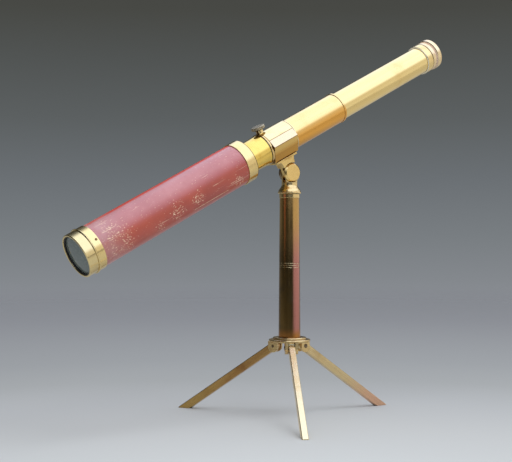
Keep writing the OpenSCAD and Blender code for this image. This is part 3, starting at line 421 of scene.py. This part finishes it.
# painted reflection: the far upper edge is painted full red with less coat, where a pale reflection would
# show
painted_far_red = times(tree, past(tree, optic, from_light, *far_side), upper)
faded_and_sheen = times(tree, upper, between(tree, painted_far_red, 0, 1, 0.42, 0))
bloom = times(tree, past(tree, optic, to_eye, *front_end),
              times(tree, use(tree, patches, Size=0.01, Share=0.6, Blur=0.2, Shift=21.0)["Mask"], 0.5))
edge = use(tree, edges, Radius=rub_radius, Amount=0.6)
dark = use(tree, grime_and_shade, Reach=shade_and_dirt_reach, Amount=0.9)["Mask"]
bore = between(tree, vectors(tree, "LENGTH", across)["Value"], *bore_wall)
colour = tinted(tree, mottle, linear(186, 68, 38), linear(168, 56, 34))
colour = tinted(tree, times(tree, faded_and_sheen, between(tree, mottle, 0, 1, 1, 0.7)), colour, linear(206, 164, 172))
colour = tinted(tree, painted_far_red, colour, linear(206, 58, 36))
colour = tinted(tree, bloom, colour, linear(198, 152, 150))
colour = tinted(tree, bare, colour, linear(248, 216, 182))
colour = tinted(tree, edge["Mask"], colour, linear(220, 176, 110))
colour = tinted(tree, dark, colour, linear(44, 20, 14))
colour = tinted(tree, bore, colour, linear(22, 20, 19))
brush = use(tree, marks, Length=0.012, Width=0.0006, **on_optic)["Height"]
relief = reckon(tree, "SUBTRACT", times(tree, brush, 0.25), bare)
bump = node(tree, "Bump", {"Height": relief, "Normal": edge["Normal"], "Strength": 0.35, "Distance": 0.0002})
feed(tree, shader, {"Base Color": colour, "Roughness": between(tree, brush, 0.3, 0.7, 0.36, 0.5),
                    "Coat Weight": between(tree, painted_far_red, 0, 1, 1, 0.15), "Normal": bump.outputs[0]})
finish(["barrel_tube"], red_japan)


# Three small brass screws with browned heads hold the front ferrule to the barrel.
# A light stop, a ring blackened with lamp black, sits inside the barrel.
aged_screw = old_brass("aged_screw", (176, 130, 70), (104, 70, 38), rough=0.3, centre=optic, lie=along_tube,
                       mark_length=0.001, mark_width=0.001, patch=0.002)
finish(["ferrule_screws"], aged_screw)


def blackened(name, rough):
    """Brass blackened with lamp black, as inside any telescope."""
    material, tree, shader = new_finish(name)
    bloom = use(tree, patches, Size=0.008, Share=0.4, Blur=0.2, Shift=6.0)["Mask"]
    feed(tree, shader, {"Base Color": tinted(tree, bloom, linear(26, 24, 22), linear(44, 39, 33)),
                        "Roughness": between(tree, bloom, 0, 1, rough, rough + 0.2),
                        "Normal": use(tree, edges, Radius=fine_edge, Amount=0.6)["Normal"]})
    return material


lamp_black = blackened("lamp_black", 0.55)
finish(["barrel_stop"], lamp_black)


# The objective: a crown and a flint lens in a turned brass cell, kept apart by a thin ring.
# A blackened ring screws in front of them. The cell's flange butts on the front ferrule.
turned_cell = old_brass("turned_cell", (240, 216, 156), (206, 170, 108), rough=0.16, **on_tube,
                        **fine_turning, browned=0.3, patch=0.03, dirt_and_shade=1.0, worn=0.8)
finish(["objective_cell"], turned_cell)
finish(["lens_ring"], blackened("worn_black", 0.5))
finish(["lens_spacer"], browned_steel)


def lens_glass(name, tint, clear):
    """Old optical glass with a trace of dust, as clear as given."""
    material, tree, shader = new_finish(name)
    shader.inputs["Transmission Weight"].default_value = clear
    shader.inputs["IOR"].default_value = 1.53
    dust = use(tree, patches, Size=0.003, Share=0.4, Blur=0.08, Shift=1.0)["Mask"]
    feed(tree, shader, {"Base Color": tinted(tree, times(tree, dust, 0.2), tint, linear(214, 214, 206)),
                        "Roughness": between(tree, dust, 0, 1, 0.0, 0.05)})
    return material


finish(["crown_lens"], lens_glass("hazy_crown", linear(128, 140, 134), 0.5))
finish(["flint_lens", "erector_front_lens", "erector_rear_lens", "field_lens", "eye_lens"],
       lens_glass("lens_glass", linear(236, 246, 238), 1.0))


# The guide tube: drawn brass, screwed into the block, with a thin turned ring on its end.
# Its lacquer is a redder gold than the rest, and it turns a deeper orange along its underside.
lower_side = (-0.05, -0.036)
drawn_guide = old_brass("drawn_guide", (250, 218, 148), (240, 196, 116), rough=0.14, **on_tube,
                        mark_length=0.05, mark_width=0.0006, browned=0.4, patch=0.04, dirt_and_shade=1.0, worn=0.7,
                        sides=[((240, 176, 84), to_underside, *lower_side)])
finish(["guide_tube", "guide_ring"], drawn_guide)


# The draw tube: drawn brass, polished by sliding, with a pale gold lacquer and lengthwise streaks.
# A blackened ring stops it inside, and it carries the erector's two lenses.
drawn_draw_tube = old_brass("drawn_draw_tube", (250, 222, 152), (232, 196, 124), rough=0.13, **on_tube,
                            mark_length=0.08, mark_width=0.0006, browned=0.35, patch=0.04, dirt_and_shade=0.0)
finish(["draw_tube"], drawn_draw_tube)
finish(["draw_stop_ring", "erector_cell"], lamp_black)


# The eyepiece: a turned brass collar and cap. The cap has a groove and a flared lip round the eye hole.
# The cap's groove and the collar's front face are painted pale and made non-metal, the groove almost so, as
# painted light over the shade that falls in them, and a dark shadow line is painted round the collar's rear
# end.
# A blackened tube inside carries the field lens, its stop and the eye lens.
collar_start, collar_end = 0.2622, 0.2725
groove_start, groove_end = collar_end + 0.0057, collar_end + 0.0087
# painted light and shade: a dark shadow line at the collar's rear end, and a pale non-metal front face over
# its shade
turned_collar = old_brass(
    "turned_collar", (248, 220, 152), (230, 190, 128), rough=0.2, **on_tube, **fine_turning, browned=0.35,
    patch=0.01, dirt_and_shade=0.0, worn=0.8,
    sides=[((90, 70, 36), to_eye, collar_end - 0.0007, collar_end - 0.0003),
           ((254, 248, 226), to_front, -collar_start - 0.0006, -collar_start - 0.0002)])
tree = turned_collar.node_tree
feed(tree, tree.nodes["Principled BSDF"],
     {"Metallic": past(tree, hinge, to_eye, collar_start + 0.0001, collar_start + 0.0005)})
finish(["eyepiece_collar"], turned_collar)

turned_cap = old_brass("turned_cap", (248, 222, 172), (230, 192, 146), rough=0.24, **on_tube,
                       **fine_turning, browned=0.35, patch=0.01, dirt_and_shade=0.0, worn=0.8)
tree = turned_cap.node_tree
shader = tree.nodes["Principled BSDF"]
# painted light: the groove is painted pale and nearly non-metal over the shade in it
painted_groove_light = times(tree, past(tree, hinge, to_eye, groove_start - 0.0003, groove_start),
            past(tree, hinge, to_eye, groove_end + 0.0003, groove_end))
brass = shader.inputs["Base Color"].links[0].from_socket
feed(tree, shader, {"Base Color": tinted(tree, painted_groove_light, brass, linear(236, 212, 190)),
                    "Metallic": between(tree, painted_groove_light, 0, 1, 1, 0.1)})
finish(["eye_cap"], turned_cap)
finish(["eyepiece_tube", "field_stop"], lamp_black)


# The lock screw on top of the block: turned brass with a straight knurl on its head.
# It is dull and grey from handling, and its shank below the head is painted dark as the shade under the head.
shaded_shank = (-0.0662, -0.0658)
knurled_screw = old_brass("knurled_screw", (196, 182, 152), (150, 134, 106), rough=0.45, **on_tube,
                          mark_length=0.0006, mark_width=0.0006, browned=0.4, patch=0.004, dirt_and_shade=0.4,
                          sides=[((92, 76, 52), to_underside, *shaded_shank)])
finish(["lock_screw"], knurled_screw)


# The studio: a round sheet of pale paper on a table, which fades into the graded grey of the room.
# One large lamp hangs over the table. Metal and glass mirror a room with a dark near side, a bright
# ceiling and a lit right side.
sheet_reach = 4.0
sheet = bmesh.new()
bmesh.ops.create_circle(sheet, cap_ends=True, segments=96, radius=sheet_reach)
paper = bpy.data.objects.new("studio_paper", bpy.data.meshes.new("studio_paper"))
sheet.to_mesh(paper.data)
sheet.free()
bpy.context.scene.collection.objects.link(paper)
paper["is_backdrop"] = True


def graded(tree, value, stops):
    """A colour that runs through these stops, each a place and a screen colour, as value grows."""
    first, last = stops[0][0], stops[-1][0]
    share = node(tree, "MapRange", {"Value": value, "From Min": first, "From Max": last}).outputs[0]
    ramp = node(tree, "ValToRGB", {"Fac": share})
    points = ramp.color_ramp.elements
    for stop, tone in stops[1:-1]:
        points.new((stop - first) / (last - first)).color = linear(*tone)
    points[0].color, points[-1].color = linear(*stops[0][1]), linear(*stops[-1][1])
    return ramp.outputs[0]


# the paper is painted brightest in a pool of light before the legs and darker away from it, and metal sees it
# with a painted pale reflection on the right and a painted dark in front
to_camera = Vector((-0.5684, -0.8228, 0))
painted_light_pool = to_camera * 0.5
fading_rim = (1.4, sheet_reach - 0.4)
right_half, front_half = (0.2, 0.9), (0.4, 1.1)
pale_right, dark_front = (0.62, 0.62, 0.6, 1), (0.1, 0.1, 0.1, 1)
pale_paper, tree, shader = new_finish("pale_paper")
shader.inputs["Roughness"].default_value = 0.9
shader.inputs["Specular IOR Level"].default_value = 0.0
place = node(tree, "TexCoord").outputs["Object"]
from_light_pool = vectors(tree, "DISTANCE", place, painted_light_pool)["Value"]
from_middle = vectors(tree, "LENGTH", place)["Value"]
rightward = vectors(tree, "DOT_PRODUCT", place, to_right)["Value"]
cameraward = vectors(tree, "DOT_PRODUCT", place, to_camera)["Value"]
mirrored = node(tree, "LightPath").outputs["Is Glossy Ray"]
# painted pool of light: the paper's tone is brightest at the pool and darker away from it
tone = graded(tree, from_light_pool, [(0.0, (205, 210, 214)), (0.25, (199, 204, 208)), (0.45, (190, 194, 198)),
                                (0.64, (178, 182, 187)), (0.85, (164, 168, 172)), (1.1, (157, 161, 166)),
                                (2.0, (148, 151, 158)), (4.0, (136, 140, 146))])
tone = tinted(tree, times(tree, mirrored, between(tree, rightward, *right_half)), tone, pale_right)
tone = tinted(tree, times(tree, mirrored, between(tree, cameraward, *front_half)), tone, dark_front)
tree.links.new(tone, shader.inputs["Base Color"])
fade = node(tree, "MixShader", {0: between(tree, from_middle, *fading_rim)})
tree.links.new(shader.outputs[0], fade.inputs[1])
tree.links.new(node(tree, "BsdfTransparent").outputs[0], fade.inputs[2])
tree.links.new(fade.outputs[0], tree.nodes["Material Output"].inputs["Surface"])
paper.data.materials.append(pale_paper)

# the room: the camera sees the backdrop, metal and glass see the room, and all else an even light
ceiling_light, right_light, even_light = (1.3, 1.5, 2.0, 1), (0.95, 0.95, 0.95, 1), (0.8, 0.8, 0.8, 1)
near_wall, right_wall = (-0.6, 0.3), (0.5, 0.74)
ceiling_rise, ceiling_left = (0.26, 0.55), (-0.38, -0.16)
world = bpy.data.worlds.new("studio_room")
world.use_nodes = True
bpy.context.scene.world = world
tree = world.node_tree
look = node(tree, "TexCoord").outputs["Generated"]
height = node(tree, "SeparateXYZ", {"Vector": look}).outputs["Z"]
rightward = vectors(tree, "DOT_PRODUCT", look, to_right)["Value"]
cameraward = vectors(tree, "DOT_PRODUCT", look, to_camera)["Value"]
backdrop = graded(tree, height, [
    (-0.2, (176, 180, 184)), (-0.116, (153, 157, 163)), (-0.078, (144, 147, 154)), (-0.04, (132, 136, 141)),
    (0.0, (121, 126, 130)), (0.054, (107, 112, 116)), (0.111, (92, 96, 97)), (0.166, (81, 84, 83)),
    (0.211, (72, 73, 69)), (0.35, (60, 61, 58))])
near_side = between(tree, cameraward, *near_wall, 1.0, 0.3)
room = node(tree, "VectorMath", {0: backdrop, "Scale": near_side}, operation="SCALE").outputs[0]
room = tinted(tree, times(tree, between(tree, rightward, *right_wall), 0.8), room, right_light)
overhead = reckon(tree, "ADD", times(tree, cameraward, 0.22), height)
ceiling = times(tree, between(tree, overhead, *ceiling_rise), between(tree, rightward, *ceiling_left))
room = tinted(tree, ceiling, room, ceiling_light)
path = node(tree, "LightPath").outputs
mirrored = reckon(tree, "MAXIMUM", path["Is Glossy Ray"], path["Is Transmission Ray"])
seen = tinted(tree, mirrored, even_light, room)
seen = tinted(tree, path["Is Camera Ray"], seen, backdrop)
tree.links.new(seen, tree.nodes["Background"].inputs["Color"])

# the lamp hangs high before the object and a little to its right, and metal mirrors the room instead
lamp_side = 1.1
lamp_level = 2.7
lamp_aim = Vector((0, 0, 0.2))
lamp_away = to_camera * 0.35 + to_right * 0.45 + Vector((0, 0, 1.4))
overhead_box = bpy.data.lights.new("overhead_box", "AREA")
overhead_box.shape = "RECTANGLE"
overhead_box.size = overhead_box.size_y = lamp_side
overhead_box.energy = lamp_level * math.pi * lamp_side * lamp_side
lamp = bpy.data.objects.new("overhead_box", overhead_box)
lamp.location = lamp_aim + lamp_away
lamp.rotation_mode = "QUATERNION"
lamp.rotation_quaternion = lamp_away.to_track_quat("Z", "Y")
lamp.visible_camera = False
lamp.visible_glossy = False
lamp.visible_transmission = False
bpy.context.scene.collection.objects.link(lamp)

# the camera stands where the photograph was taken from
lens = bpy.data.cameras.new("camera")
lens.lens = 73.83
lens.sensor_width = 36
camera = bpy.data.objects.new("camera", lens)
camera.location = (-0.7395, -1.0343, 0.2188)
camera.rotation_mode = "QUATERNION"
camera.rotation_quaternion = Vector((0.5684, 0.8228, 0.0056)).to_track_quat("-Z", "Y")
bpy.context.scene.collection.objects.link(camera)
bpy.context.scene.camera = camera
bpy.context.scene.view_settings.view_transform = "Standard"

low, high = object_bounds()
